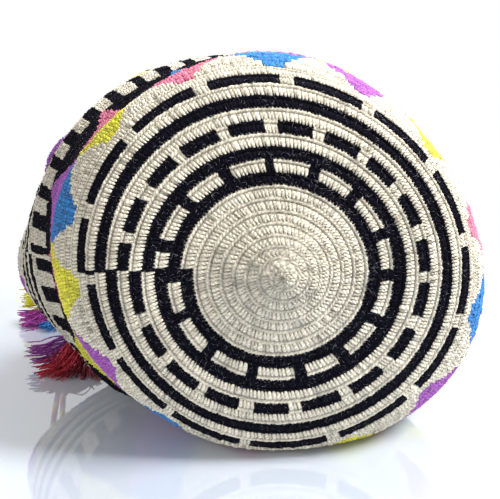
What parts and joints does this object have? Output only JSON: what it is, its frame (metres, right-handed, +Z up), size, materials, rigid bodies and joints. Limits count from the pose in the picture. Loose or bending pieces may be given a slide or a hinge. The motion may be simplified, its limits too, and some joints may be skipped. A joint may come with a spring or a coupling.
{
  "type": "crossbody bag",
  "caption": "Round-bottomed crocheted drawstring bag lying on its side, stuffed to shape, with a flat strap folded behind it and a tasselled drawstring through the rim.",
  "frame": {"origin": "a point on the flat part of the bag's underside, where it rests on the floor", "axes": "+Z up; +Y along the bag from its round base to its mouth and strap; +X to the right seen from the base"},
  "size_m": [0.3023, 0.5084, 0.2188],
  "materials": {
    "body_yarn": "matte",
    "strap_yarn": "matte",
    "cord_yarn": "matte",
    "head_yarn": "matte",
    "binding_yarn": "matte",
    "thread_crimson": "matte",
    "thread_purple": "matte",
    "thread_maroon": "matte",
    "thread_orchid": "matte",
    "thread_yellow": "matte",
    "thread_blue": "matte"
  },
  "bodies": {
    "root": {"bag_body": "body_yarn", "strap": "strap_yarn", "drawstring": "cord_yarn", "drawstring_tail_near": "cord_yarn", "drawstring_tail_far": "cord_yarn", "near_tassel_head": "head_yarn", "near_tassel_binding": "binding_yarn", "near_tassel_skirt_crimson": "thread_crimson", "near_tassel_skirt_purple": "thread_purple", "near_tassel_skirt_maroon": "thread_maroon", "far_tassel_head": "head_yarn", "far_tassel_binding": "binding_yarn", "far_tassel_skirt_orchid": "thread_orchid", "far_tassel_skirt_yellow": "thread_yellow", "far_tassel_skirt_blue": "thread_blue"}
  },
  "joints": []
}
